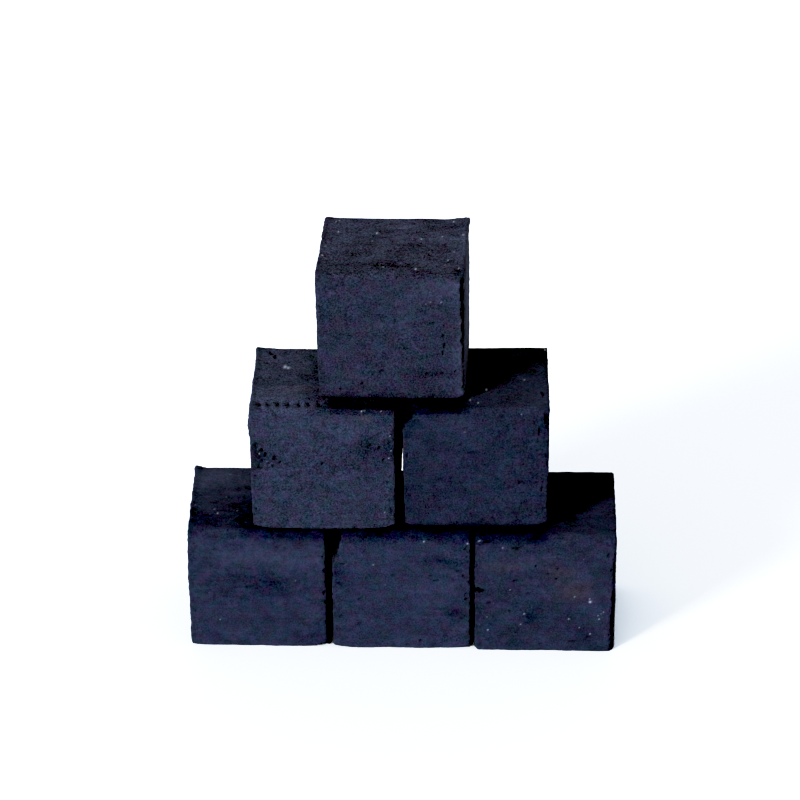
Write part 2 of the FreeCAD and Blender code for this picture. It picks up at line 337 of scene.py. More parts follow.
        bites=[((-12.7, -12.4, 9.2), (1.3, 1.1, 1.5)), ((-11.7, -12.5, 7.6), (0.7, 0.5, 0.5)),
               ((12.6, -12.3, -12.1), (1, 1, 0.9))],
        burrs=[((-12.6, -7, -11), (2.5, 2, 4), 0.45), ((-12.6, -12, 0), (2.5, 3, 8), 0.15),
               ((12.6, -10, -11.5), (2.5, 1.8, 3), 0.35)],
        pits={"front": [
            (-10.6, 17.8, 0.6, 0.2, 0.35), (3.5, 1.7, 0.3, 0.25, 0.4), (10.1, 1.7, 0.2, 0.2, 0.4),
            (11.8, 21, 0.4, 0.25, 0.4), (11.9, 10.6, 0.4, 0.3, 0.4), (6.3, 14.4, 0.5, 0.3, 0.3),
            (5.4, 15.4, 0.4, 0.2, 0.3),
        ]},
        tone_and_light_patches={"front": [
            (8.4, 18.4, 4.6, 0.8, -0.35), (9.4, 7.4, 2.4, 1.8, -0.28), (-10.6, 15, 1.8, 2.6, -0.35),
            (12, 22, 0.6, 1, 0.5),
        ]},
        ash={"front": [
            (4.1, 22.6, 0.25), (-5.1, 17.7, 0.18), (-3, 13.5, 0.16), (6.3, 20.9, 0.12), (12, 22.2, 0.25),
        ]},
    ),
    "bottom_right_cube": dict(
        seed=67, tone=0.97, grain=0.62, tint=(0.96, 0.99, 1.03), top_light_and_dust=0.08, dry=0.1,
        nibbles=[(-1, 3, 22, 20), (1, 1, 22, 20)], painted_shade=[(-13, -2.5, 2.1, 1)], carries=(-13, 10.6),
        edges={("front", "top"): (2, 0), ("front", "bottom"): (0.15, 0.2)},
        corners={"left_back_top": (0, 0, 0.1), "right_back_top": (0, 0, 0.15),
                 "right_front_bottom": (0, -0.1, 0)},
        shaves=[((11.95, -12.3, 0), (0.72, -0.69, -0.02), 0.4, 0.9),
                ((12.4, -12.3, -12), (0.66, -0.2, -0.72), 0.2, 0.2),
                ((-11.8, -12.3, -12), (-0.6, -0.25, -0.76), 0.2, 0.2)],
        bites=[((-12.8, -12.4, 0.8), (2.1, 2.4, 0.5)), ((-12.8, -12.3, 6), (0.7, 0.8, 0.8))],
        burrs=[((12.4, -12.2, 11.6), 0.9, 0.3), ((-12.7, -4, 0), (2.5, 4, 40), 0.42)],
        pits={"front": [
            (-11.9, 12.75, 1.1, 0.34, 1), (-1.7, 17.7, 0.25, 0.2, 0.35), (2.3, 17.3, 0.35, 0.25, 0.4),
            (2.1, 15.2, 0.3, 0.2, 0.35), (-5.3, 14.7, 0.5, 0.25, 0.35), (-5.4, 21.4, 0.9, 0.25, 0.4),
            (-10.1, 10, 0.4, 0.3, 0.3), (-6.2, 8.2, 0.4, 0.3, 0.3), (5.2, 2, 1.2, 0.2, 0.3),
        ]},
        tone_and_light_patches={"front": [
            (-2.5, 7.6, 1.5, 1.8, -0.34), (9.4, 6.8, 1.6, 1.6, 0.15), (-2, 19, 7, 1.6, 0.14),
            (7, 4, 4, 2, -0.15), (7, 14.5, 3, 2, 0.1),
        ]},
        ash={"front": [
            (-7.7, 21.5, 0.19), (-6.4, 21.1, 0.12), (-12.2, 23, 0.3), (1.7, 19.8, 0.15),
            (7.2, 23.2, 0.12), (-3.7, 7.8, 0.22), (-4.3, 5.6, 0.19), (4.4, 6.8, 0.22), (8.2, 10.5, 0.4),
            (8.1, 11.1, 0.19), (8.3, 3.7, 0.22), (10.7, 8.4, 0.15), (10.2, 8, 0.15), (9.7, 7.6, 0.12),
            (10.4, 7.3, 0.12), (-10.3, 4.3, 0.22), (-10.5, 7, 0.14), (-6.3, 12.8, 0.15),
            (5.4, 11.5, 0.19), (9.9, 6.9, 0.19), (6.3, 5, 0.14),
        ]},
        rust={"front": [
            (5.2, 12.6, 3.2, 2, 0.34), (2.6, 16.6, 2.4, 1.2, 0.28), (-7, 17.6, 2.6, 1, 0.25),
        ]},
    ),
}

# The row of small dents that a tool left along the middle left cube's front edge.
DENT_CUBE = "middle_left_cube"
DENT_COUNT = 7
DENT_FIRST_X = -11.2
DENT_SPACING = 1.75
DENT_Y = -9.5
DENT_JITTER = 0.2
DENT_RADII = (0.42, 1.0, 1.0)
DENT_DEPTH = 0.55
DENT_SHADE = 0.35          # how much darker they are painted, as shade in them


# ---------------------------------------------------------------- noise

TABLE_SIZE = 256
noise_random = np.random.default_rng(7)
GRADIENTS = noise_random.normal(size=(TABLE_SIZE, 3))
GRADIENTS /= np.linalg.norm(GRADIENTS, axis=1, keepdims=True)
SHUFFLE = noise_random.permutation(TABLE_SIZE)
NOISE_GAIN = 1.7          # brings gradient noise to about -1 to 1


def gradient_noise(points):
    """Smooth noise of about -1 to 1 with cells one unit wide."""
    cell = np.floor(points).astype(np.int64)
    part = points - cell
    fade = part ** 3 * (part * (part * 6 - 15) + 10)
    total = np.zeros(len(points))
    for corner in itertools.product((0, 1), repeat=3):
        index = np.zeros(len(points), np.int64)
        weight = np.ones(len(points))
        for axis, step in enumerate(corner):
            index = SHUFFLE[(index + cell[:, axis] + step) % TABLE_SIZE]
            weight = weight * (fade[:, axis] if step else 1 - fade[:, axis])
        total += weight * ((part - corner) * GRADIENTS[index]).sum(1)
    return total * NOISE_GAIN


def fractal(points, size, octaves, seed):
    """Layered noise whose largest lumps are size across."""
    total = np.zeros(len(points))
    share = 1.0
    for octave in range(octaves):
        offset = np.random.default_rng(seed * 31 + octave).uniform(0, TABLE_SIZE, 3)
        total += share * gradient_noise(points * (2 ** octave / np.asarray(size)) + offset)
        share *= 0.5
    return total


def smooth_step(low, high, value):
    """0 below low, 1 above high, smooth between."""
    part = np.clip((value - low) / (high - low), 0, 1)
    return part * part * (3 - 2 * part)


# ---------------------------------------------------------------- the grid

def surface_grid(count):
    """Points and squares of a cube's skin, shared along its edges, with a flat layout.

    Returns the points as whole steps from 0 to count, the squares as point
    numbers and each square corner's place in the layout.
    """
    steps = np.indices((count + 1,) * 3).reshape(3, -1).T
    outside = ((steps == 0) | (steps == count)).any(1)
    number = np.full(len(steps), -1)
    number[outside] = np.arange(outside.sum())
    number = number.reshape((count + 1,) * 3)
    first, second = np.meshgrid(np.arange(count), np.arange(count), indexing="ij")
    first, second = first.ravel(), second.ravel()
    squares, layout = [], []
    margin = 0.012
    for place, (axis, sign, one, two) in enumerate(FACES.values()):
        turned = (one, two) if (one + 1) % 3 == two else (two, one)
        if sign < 0:
            turned = turned[::-1]
        corners, flat = [], []
        for add_one, add_two in ((0, 0), (1, 0), (1, 1), (0, 1)):
            index = [None, None, None]
            index[axis] = np.full(len(first), count if sign > 0 else 0)
            index[turned[0]] = first + add_one
            index[turned[1]] = second + add_two
            corners.append(number[tuple(index)])
            across = (first + add_one) / count
            up = (second + add_two) / count
            flat.append(np.stack([
                (place % 3 + margin + across * (1 - 2 * margin)) / 3,
                (place // 3 + margin + up * (1 - 2 * margin)) / 2], 1))
        squares.append(np.stack(corners, 1))
        layout.append(np.stack(flat, 1))
    return steps[outside], np.concatenate(squares), np.concatenate(layout)


# ---------------------------------------------------------------- the sculpture

class Box:
    """A cube's box under a grid, with a ray from its core out to every grid point."""

    def __init__(self, half, seed):
        steps, self.squares, self.layout = surface_grid(GRID)
        self.half = half
        self.seed = seed
        self.skin = (steps / GRID * 2 - 1) * half
        self.start = np.clip(self.skin, CORE - half, half - CORE)
        self.reach = np.linalg.norm(self.skin - self.start, axis=1)
        self.ray = (self.skin - self.start) / self.reach[:, None]
        self.ragged = self.noise(0.8, 2, 6)

        # How much a point belongs to a cut face or to the top, and how near it is to a cut edge.
        self.cutness = smooth_step(0.55, 0.8, np.abs(self.ray[:, 0]))
        self.topness = smooth_step(0.6, 0.85, self.ray[:, 2])
        from_end = half[0] - np.abs(self.skin[:, 0])
        from_side = (half[1:] - np.abs(self.skin[:, 1:])).min(1)
        self.edgeness = np.exp(-((np.hypot(from_end, from_side) / CUT_EDGE_WIDTH) ** 2))

    def noise(self, size, octaves, pattern):
        """Layered noise over the skin, in one of the cube's own patterns."""
        return fractal(self.skin, size, octaves, self.seed + pattern)

    def away(self, face, one, two, radius_one, radius_two):
        """How far each point is from a spot on a face: 0 in its middle and 1 at its rim."""
        axis, sign, first, second = FACES[face]
        centre = np.zeros(3)
        centre[axis] = sign * self.half[axis]
        centre[first], centre[second] = one, two
        if second == 2:
            centre[2] -= self.half[2]
        radii = np.full(3, SPOT_DEPTH)
        radii[first], radii[second] = radius_one, radius_two
        return np.linalg.norm((self.skin - centre) / radii, axis=1)

    def smudge(self, *spot):
        """1 in the middle of a spot, fading out over a ragged rim."""
        rim = self.away(*spot) + MARK_RAGGED * self.ragged
        return np.exp(-np.clip(rim, 0, None) ** 2)


def marks(detail, kind):
    """A cube's marks of one kind, each with the name of its face put first."""
    return [(face, *mark) for face, places in detail.get(kind, {}).items() for mark in places]


def bar_distance(points, half, die_radius, cut_radius):
    """Distance to a bar with rounded long edges and rounded cut edges."""
    corner = np.abs(points[:, 1:]) - (half[1:] - die_radius[:, None])
    section = np.hypot(*np.maximum(corner, 0).T) + np.minimum(corner.max(1), 0) - die_radius
    end = np.abs(points[:, 0]) - half[0]
    both = np.stack([section, end], 1) + cut_radius[:, None]
    return np.hypot(*np.maximum(both, 0).T) + np.minimum(both.max(1), 0) - cut_radius


def shave_distance(points, ragged, point, normal, rough):
    """How far points stand out over the ragged plane of a flat chip."""
    normal = np.asarray(normal) / np.linalg.norm(normal)
    return (points - point) @ normal + SHAVE_RAGGED * rough * ragged


def bite_distance(points, ragged, middle, radii):
    """How far points stand inside a rounded chip with a ragged wall."""
    hole = 1 - np.linalg.norm((points - np.asarray(middle)) / radii, axis=1)
    return (hole - BITE_RAGGED * ragged) * min(radii)


def grain_relief(box):
    """Lumps everywhere, drag streaks along the bar and rough fracture on the cut faces."""
    lumps = LUMP_HEIGHT * box.noise(8.0, 2, 1) + DIMPLE_HEIGHT * box.noise(2.2, 2, 2)
    grain = box.noise(0.75, 2, 3)
    streaks = box.noise((9.0, 0.9, 0.9), 2, 4)
    saw = box.noise((0.9, 0.9, 7.0), 2, 5)
    relief = lumps - SKIN_INSET
    relief += (1 - box.cutness) * (PRESSED_GRAIN * grain + STREAK_HEIGHT * streaks)
    relief += box.cutness * (CUT_FACE_PROUD + CUT_GRAIN * grain + SAW_HEIGHT * saw)
    return relief + EDGE_LUMP_HEIGHT * box.edgeness * box.noise(1.2, 2, 9)


def add_random_pits(box, grain, random, relief, hollow_shade):
    """Scatter small pits over every face, drawn out along the bar on the die's faces."""
    for axis, sign, one, two in FACES.values():
        is_cut = axis == 0
        near = np.flatnonzero(sign * box.skin[:, axis] > box.half[axis] - 1.0)
        local = box.skin[near]
        for _ in range(CUT_PITS if is_cut else round(PRESSED_PITS * grain)):
            place = random.uniform(-1, 1, 2) * (box.half[one], box.half[two])
            size = PIT_SIZE + PIT_SIZE_GAIN * random.random() ** 4
            stretch = 1.0 if is_cut else 1.0 + PIT_STRETCH * random.random()
            depth = size * random.uniform(0.45, 0.9)
            across = (local[:, one] - place[0]) / (size * stretch)
            up = (local[:, two] - place[1]) / size
            bowl = np.sqrt(np.clip(1 - across ** 2 - up ** 2, 0, 1))
            relief[near] -= depth * bowl
            hollow_shade[near] = np.maximum(hollow_shade[near], SMALL_PIT_SHADE * bowl)


def add_nibbles(box, nibbles, random, relief, hollow_shade):
    """Bite small holes out of the front's upright edges."""
    half = box.half
    for side, low, high, count in nibbles:
        for _ in range(count):
            inward = NIBBLE_BAND * random.random() ** 2
            middle = (side * (half[0] - inward), -half[1], random.uniform(low, high) - half[2])
            size = random.uniform(0.1, 0.22) + 0.2 * random.random() ** 4
            radii = (size, size, size * random.uniform(0.7, 1.8))
            away = np.linalg.norm((box.skin - middle) / radii, axis=1)
            bowl = np.clip(1 - away ** 2, 0, 1)
            relief -= NIBBLE_DEPTH * size * np.sqrt(bowl)
            hollow_shade[:] = np.maximum(hollow_shade, NIBBLE_SHADE * bowl)


def dent_share(box, random):
    """How deep each point lies in the row of dents, from 0 to 1."""
    dents = np.zeros(len(box.skin))
    for index in range(DENT_COUNT):
        middle = (DENT_FIRST_X + index * DENT_SPACING + random.uniform(-DENT_JITTER, DENT_JITTER),
                  DENT_Y + random.uniform(-DENT_JITTER, DENT_JITTER), box.half[2])
        away = np.linalg.norm((box.skin - middle) / DENT_RADII, axis=1) + DENT_RAGGED * box.ragged
        share = random.uniform(0.7, 1.0)
        dents = np.maximum(dents, share * np.exp(-np.clip(away, 0, None) ** 2))
    return dents


def add_placed_pits(box, pits, relief, hollow_shade):
    """Sink the pits that have a place of their own."""
    for *spot, depth in pits:
        rim = box.away(*spot) + PIT_RAGGED * box.ragged
        bowl = np.clip(1 - rim ** 2, 0, 1)
        relief -= depth * np.sqrt(bowl)
        hollow_shade[:] = np.maximum(hollow_shade, PIT_SHADE * smooth_step(0.0, 0.6, bowl))


def add_burrs(box, burrs, relief):
    """Raise the lips along broken edges."""
    for middle, radii, height in burrs:
        away = np.linalg.norm((box.skin - np.asarray(middle)) / radii, axis=1)
        relief += height * np.exp(-away ** 2) * (1 + BURR_RAGGED * box.ragged)


def long_edge_radius(box, edges):
    """The radius of the nearest long edge, which widens towards the cut faces."""
    flare = (np.abs(box.skin[:, 0]) / box.half[0]) ** 5
    radius = EDGE_WAVER * box.noise(6.0, 1, 7)
    for (depth, level), (middle, gain) in {**LONG_EDGES, **edges}.items():
        at_depth = (box.skin[:, 1] > 0) == (depth == "back")
        at_level = (box.skin[:, 2] > 0) == (level == "top")
        radius += (at_depth & at_level) * (middle + gain * flare)
    return radius


def crumble_share(box):
    """How far the edges round the cut faces have crumbled, from 0 to 1."""
    loose = box.noise(1.3, 4, 8) + 0.25 * box.noise(7.0, 1, 11)
    return np.clip(loose, 0, 1) * box.edgeness


def press_in(box, detail, relief, radii):
    """Walk in along the rays from outside until they meet the shape."""
    depth = box.reach + WALK_FROM
    for _ in range(WALK_STEPS):
        points = box.start + box.ray * depth[:, None]
        distance = bar_distance(points, box.half, *radii) - relief
        for *plane, painted_shade in detail.get("shaves", ()):
            distance = np.maximum(distance, shave_distance(points, box.ragged, *plane))
        for bite in detail.get("bites", ()):
            distance = np.maximum(distance, bite_distance(points, box.ragged, *bite))
        depth = depth - WALK_SHARE * distance
    return box.start + box.ray * depth[:, None]


def chip_shade_mask(box, shaves, points, relief, radii):
    """How dark the chips are painted, as shade in their hollows, with a little darkening on the whole
    cut faces.
    """
    buried = smooth_step(0.08, 0.3, relief - bar_distance(points, box.half, *radii))
    broken = BITE_SHADE * buried
    for *plane, painted_shade in shaves:
        on_plane = np.abs(shave_distance(points, box.ragged, *plane)) < SAME_PLANE
        broken = np.where(on_plane, painted_shade * buried, broken)
    return np.maximum(broken, CUT_FACE_DARKENING * box.cutness)


def corner_shift(points, half, corners):
    """Move the named corners of the box and everything between them evenly."""
    shift = np.zeros_like(points)
    share = points / half * 0.5 + 0.5
    for name, move in corners.items():
        side, depth, level = name.split("_")
        weight_x = share[:, 0] if side == "right" else 1 - share[:, 0]
        weight_y = share[:, 1] if depth == "back" else 1 - share[:, 1]
        weight_z = share[:, 2] if level == "top" else 1 - share[:, 2]
        shift += (weight_x * weight_y * weight_z)[:, None] * move
    return shift


def part_resting_faces(box, lift, carries, points):
    """Keep touching faces apart, so that the grain of one never cuts through the other."""
    points[:, 2] += LIFT_FADE * lift * smooth_step(0.7, 0.9, -box.ray[:, 2])
    points[:, 2] = np.maximum(points[:, 2], lift - box.half[2])
    if carries:
        under = (points[:, 0] > carries[0]) & (points[:, 0] < carries[1])
        points[under, 2] = np.minimum(points[under, 2], box.half[2] + PEAK_LIMIT)


def tone_masks(box, detail, dents):
    """How much paler or darker each point is, painted light and shade included, and how dry and uneven.
    """
    # The top is painted paler: partly painted light that the tops catch, partly dust.
    tone = detail["top_light_and_dust"] * box.topness
    # The patches add tone changes together with painted highlights and painted shade.
    for *spot, change in marks(detail, "tone_and_light_patches"):
        tone += change * box.smudge(*spot)
    dryness = detail["dry"] * box.topness
    tone += TOP_UNEVEN * dryness * box.noise((4.5, 2.2, 2.2), 4, 10)
    # Painted shade along the front top edge, where a cube resting on this one shades it.
    for from_x, to_x, reach, strength in detail.get("painted_shade", ()):
        x = box.skin[:, 0]
        beside = np.maximum(0, np.maximum(from_x - x, x - to_x))
        away = np.hypot(LEDGE_SHADE_TAPER * beside, box.half[2] - box.skin[:, 2]) / reach
        behind = box.skin[:, 1] + box.half[1] + LEDGE_SHADE_END_RAGGED * box.ragged
        share = strength * smooth_step(1.15, 0.2, away + LEDGE_SHADE_RAGGED * box.ragged)
        share *= smooth_step(LEDGE_SHADE_ENDS, LEDGE_SHADE_FADES, behind)
        tone = tone * (1 - share) - LEDGE_SHADE_TONE * share
        dryness = dryness * (1 - share)
    return tone - DENT_SHADE * dents, dryness


def ash_mask(box, specks):
    """How bright the placed ash specks are; small ones are dimmer."""
    ash = np.zeros(len(box.skin))
    for face, one, two, radius in specks:
        deep = radius * TOP_SPECK_STRETCH if face == "top" else radius
        away = box.away(face, one, two, radius, deep) / ASH_SIZE
        strength = TOP_ASH_STRENGTH if face == "top" else ASH_STRENGTH
        strength *= min(1.0, 0.45 + 2.2 * radius)
        ash = np.maximum(ash, strength * np.exp(-away ** 2))
    return ash


def sculpt(half, name):
    """Return the cube's points, squares, flat layout and colour masks."""
    detail = CUBES[name]
    random = np.random.default_rng(detail["seed"])
    box = Box(half, detail["seed"])
    hollow_shade, dents, porous, rust = np.zeros((4, len(box.skin)))
    relief = grain_relief(box)
    add_random_pits(box, detail["grain"], random, relief, hollow_shade)
    add_nibbles(box, detail["nibbles"], random, relief, hollow_shade)
    if name == DENT_CUBE:
        dents = dent_share(box, random)
    relief -= DENT_DEPTH * dents
    add_placed_pits(box, marks(detail, "pits"), relief, hollow_shade)
    add_burrs(box, detail["burrs"], relief)
    crumbled = crumble_share(box)
    relief -= CRUMBLE_DEPTH * crumbled
    hollow_shade = np.maximum(hollow_shade, CRUMBLE_SHADE * smooth_step(0.2, 0.7, crumbled))

    radii = long_edge_radius(box, detail["edges"]), CUT_RADIUS + CUT_CRUMBLE * crumbled
    points = press_in(box, detail, relief, radii)
    broken = chip_shade_mask(box, detail.get("shaves", ()), points, relief, radii)
    points += corner_shift(points, half, detail["corners"])
    lift = 0.0 if name.startswith("bottom") else REST_LIFT
    part_resting_faces(box, lift, detail.get("carries"), points)

    tone, dryness = tone_masks(box, detail, dents)
    for *spot, strength in marks(detail, "porous"):
        porous = np.maximum(porous, strength * box.smudge(*spot))
    for *spot, strength in marks(detail, "rust"):
        rust += strength * box.smudge(*spot)
    masks = {
        "hollow_shade": hollow_shade,
        "broken": broken,
        "tone": tone,
        "ash": ash_mask(box, marks(detail, "ash")),
        "porous": porous,
        "dry": dryness,
        "rust": rust,
    }
    return points, box.squares, box.layout, masks


# ---------------------------------------------------------------- shader

class Shader:
    """A material under construction, with short names for the nodes it needs."""

    def __init__(self, name):
        self.material = bpy.data.materials.new(name)
        self.material.use_nodes = True
        self.nodes = self.material.node_tree.nodes
        self.links = self.material.node_tree.links
        self.surface = self.nodes["Principled BSDF"]

    def put(self, socket, value):
        """Set a socket to a number or colour, or link it."""
        if isinstance(value, bpy.types.NodeSocket):
            self.links.new(value, socket)
        else:
            socket.default_value = value

    def mask(self, name):
        node = self.nodes.new("ShaderNodeAttribute")
        node.attribute_name = name
        return node.outputs["Fac"]

    def place(self, stretch=(1.0, 1.0, 1.0), offset=0.0):
        """Coordinates in millimetres, squeezed by stretch."""
        source = self.nodes.new("ShaderNodeTexCoord")
        mapping = self.nodes.new("ShaderNodeMapping")
        mapping.inputs["Scale"].default_value = [1000 / value for value in stretch]
        mapping.inputs["Location"].default_value = (offset, offset * 0.7, -offset * 1.3)
        self.links.new(source.outputs["Object"], mapping.inputs["Vector"])
        return mapping.outputs["Vector"]

    def noise(self, size, detail, stretch=(1.0, 1.0, 1.0), offset=0.0):
        node = self.nodes.new("ShaderNodeTexNoise")
        node.inputs["Scale"].default_value = 1 / size
        node.inputs["Detail"].default_value = detail
        node.inputs["Roughness"].default_value = NOISE_ROUGHNESS
        self.links.new(self.place(stretch, offset), node.inputs["Vector"])
        return node.outputs["Fac"]

    def hues(self, size, offset):
        """Noise with a separate pattern in red, green and blue."""
        node = self.nodes.new("ShaderNodeTexNoise")
        node.inputs["Scale"].default_value = 1 / size
        node.inputs["Detail"].default_value = 1.0
        self.links.new(self.place(offset=offset), node.inputs["Vector"])
        return node.outputs["Color"]

    def cells(self, size, offset):
        node = self.nodes.new("ShaderNodeTexVoronoi")
        node.inputs["Scale"].default_value = 1 / size
        self.links.new(self.place(offset=offset), node.inputs["Vector"])
        return node.outputs

    def ramp(self, value, low, high, low_to=0.0, high_to=1.0):
        """Map low to high smoothly onto low_to to high_to."""
        node = self.nodes.new("ShaderNodeMapRange")
        node.interpolation_type = "SMOOTHSTEP"
        for socket, number in zip(node.inputs[1:5], (low, high, low_to, high_to)):
            socket.default_value = number
        self.links.new(value, node.inputs[0])
        return node.outputs[0]

    def math(self, operation, one, two=0.0):
        """Join two numbers; FRACT uses only the first."""
        node = self.nodes.new("ShaderNodeMath")
        node.operation = operation
        self.put(node.inputs[0], one)
        self.put(node.inputs[1], two)
        return node.outputs[0]

    def vector(self, operation, one, two=None, scale=None):
        node = self.nodes.new("ShaderNodeVectorMath")
        node.operation = operation
        self.put(node.inputs[0], one)
        if two is not None:
            self.put(node.inputs[1], two)
        if scale is not None:
            self.put(node.inputs["Scale"], scale)
        return node.outputs["Vector"]

    def mix(self, share, one, two):
        node = self.nodes.new("ShaderNodeMix")
        node.data_type = "RGBA"
        self.put(node.inputs["Factor"], share)
        self.put(node.inputs["A"], one)
        self.put(node.inputs["B"], two)
        return node.outputs["Result"]

    def bump(self, height, strength, distance, normal=None):
        node = self.nodes.new("ShaderNodeBump")
        node.inputs["Strength"].default_value = strength
        node.inputs["Distance"].default_value = distance
        self.links.new(height, node.inputs["Height"])
        if normal is not None:
            self.links.new(normal, node.inputs["Normal"])
        return node.outputs["Normal"]


CHARCOAL = (0.0243, 0.0293, 0.0591, 1.0)
VIOLET = (0.0275, 0.028, 0.0603, 1.0)
TEAL = (0.022, 0.0308, 0.0585, 1.0)
GRAIN = (0.0235, 0.0266, 0.0416)
# near black: the painted shade in pores, pits and chips, and the darkest the colour may go
HOLLOW_SHADE = (0.008, 0.009, 0.016, 1.0)
RUST = (0.0689, 0.0486, 0.0648, 1.0)
ASH = (0.34, 0.3655, 0.425, 1.0)
HUE_DRIFT = (0.40, 0.20, 0.24)   # how much red, green and blue wander apart
NOISE_ROUGHNESS = 0.6
GRAIN_GAIN = 0.33         # how strongly the grain shows in the tone
DRY_GAIN = 1.6            # what a dry top adds to it
TONE_GAIN = 1.1
PORE_COVER = 0.5          # how much of the colour the painted shade covers in pores, pits and chips
PIT_COVER = 0.6
CHIP_COVER = 0.75
RANDOM_ASH = 0.12
SPECULAR = 0.015          # powder hardly shines


def charcoal_material(name, seed, tone, grain_strength, tint):
    """Pressed charcoal: bluish black grain with mottling, pores, painted shade in its hollows, the tone
    mask's painted light and shade, and ash specks.
    """
    shader = Shader(name)
    offset = seed * 11.7
    hue = shader.noise(1.5, 1.0, (1.25, 1.0, 1.0), offset)
    colour = shader.mix(shader.ramp(hue, 0.48, 0.64), CHARCOAL, VIOLET)
    colour = shader.mix(shader.ramp(hue, 0.52, 0.36), colour, TEAL)
    drift = shader.vector("MULTIPLY", shader.hues(2.2, offset + 15), HUE_DRIFT)
    level = [1 - 0.5 * value for value in HUE_DRIFT]
    colour = shader.vector("MULTIPLY", colour, shader.vector("ADD", drift, level))
    colour = shader.mix(shader.mask("rust"), colour, RUST)

    # Light and dark: broad clouds, drag streaks, fine grain and the listed patches.
    clouds = shader.ramp(shader.noise(4.0, 2.0, (1.3, 1.0, 1.0), offset + 3), 0.25, 0.75, 0.88, 1.12)
    blots = shader.ramp(shader.noise(1.3, 1.0, (1.1, 1.0, 1.1), offset + 13), 0.25, 0.75, 0.90, 1.10)
    streaks = shader.ramp(shader.noise(0.7, 2.0, (6.0, 1.0, 1.0), offset + 5), 0.25, 0.75, 0.93, 1.07)
    light = shader.math("MULTIPLY", shader.math("MULTIPLY", clouds, blots), streaks)
    light = shader.math("MULTIPLY", light, tone)
    colour = shader.vector("SCALE", shader.vector("MULTIPLY", colour, tint), scale=light)
    coarse = shader.ramp(shader.noise(0.30, 1.0, offset=offset + 7), 0.28, 0.72, -1.0, 1.0)
    fine = shader.ramp(shader.noise(0.14, 0.0, offset=offset + 9), 0.25, 0.75, -1.0, 1.0)
    grain = shader.math("MULTIPLY", shader.math("ADD", coarse, fine), GRAIN_GAIN * grain_strength)
    dry = shader.math("MULTIPLY", shader.mask("dry"), DRY_GAIN)
    grain = shader.math("MULTIPLY", grain, shader.math("ADD", dry, 1.0))
    # The tone mask carries painted light and shade too: paler tops, painted highlights, and shade under
    # resting cubes and in the dents.
    shade = shader.math("ADD", grain, shader.math("MULTIPLY", shader.mask("tone"), TONE_GAIN))
    colour = shader.vector("ADD", colour, shader.vector("SCALE", GRAIN, scale=shade))
    colour = shader.vector("MAXIMUM", colour, HOLLOW_SHADE[:3])

    # Pores, pits and chips are painted dark, as painted shade in their hollows.
    pores = shader.ramp(shader.cells(0.55, offset + 1)["Distance"], 0.08, 0.22, 1.0, 0.0)
    pore_field = shader.ramp(shader.noise(2.4, 2.0, (2.0, 1.0, 1.0), offset + 2), 0.60, 0.74)
    pore_field = shader.math("MAXIMUM", pore_field, shader.mask("porous"))
    pores = shader.math("MULTIPLY", pores, pore_field)
    colour = shader.mix(shader.math("MULTIPLY", pores, PORE_COVER), colour, HOLLOW_SHADE)
    colour = shader.mix(shader.math("MULTIPLY", shader.mask("hollow_shade"), PIT_COVER), colour, HOLLOW_SHADE)
    colour = shader.mix(shader.math("MULTIPLY", shader.mask("broken"), CHIP_COVER), colour, HOLLOW_SHADE)

    # Ash specks: a few scattered at random and the listed ones.
    specks = shader.cells(1.1, offset + 4)
    near = shader.ramp(specks["Distance"], 0.05, 0.11, 1.0, 0.0)
    lot = shader.math("FRACT", shader.math("MULTIPLY", specks["Color"], 7.3))
    picked = shader.ramp(lot, 0.80, 0.95)
    speck = shader.math("MULTIPLY", near, picked)
    speck = shader.math("MAXIMUM", shader.math("MULTIPLY", speck, RANDOM_ASH), shader.mask("ash"))
    speck = shader.math("MINIMUM", speck, 1.0)
    colour = shader.mix(speck, colour, ASH)

    rough_height = shader.noise(0.45, 3.0, offset=offset + 7)
    normal = shader.bump(rough_height, 0.55, 0.00010)
    fine_height = shader.noise(0.13, 2.0, offset=offset + 8)
    normal = shader.bump(fine_height, 0.5, 0.00004, normal)
    normal = shader.bump(pores, 0.7, -0.00010, normal)
    shader.put(shader.surface.inputs["Base Color"], colour)
    roughness = shader.ramp(shader.noise(0.6, 2.0, offset=offset + 6), 0.3, 0.7, 0.62, 0.88)
    shader.put(shader.surface.inputs["Roughness"], roughness)
    shader.surface.inputs["Specular IOR Level"].default_value = SPECULAR
    shader.put(shader.surface.inputs["Normal"], normal)
    return shader.material


# ---------------------------------------------------------------- pieces

def cube_axes(node):
    """Find a CAD cube's middle, half sizes in millimetres and turn about Z."""
    mesh = frame["nodes"][node].data
    turn = np.zeros(2)
    for polygon in mesh.polygons:
        if polygon.normal.x > 0.99:
            turn += np.array(polygon.normal[:2]) * polygon.area
    angle = math.atan2(turn[1], turn[0])
    spin = np.array(Matrix.Rotation(angle, 3, "Z"))
    points = np.array([vertex.co for vertex in mesh.vertices]) @ spin
    low, high = points.min(0), points.max(0)
    return spin @ ((low + high) / 2), (high - low) / 2 / MM, spin


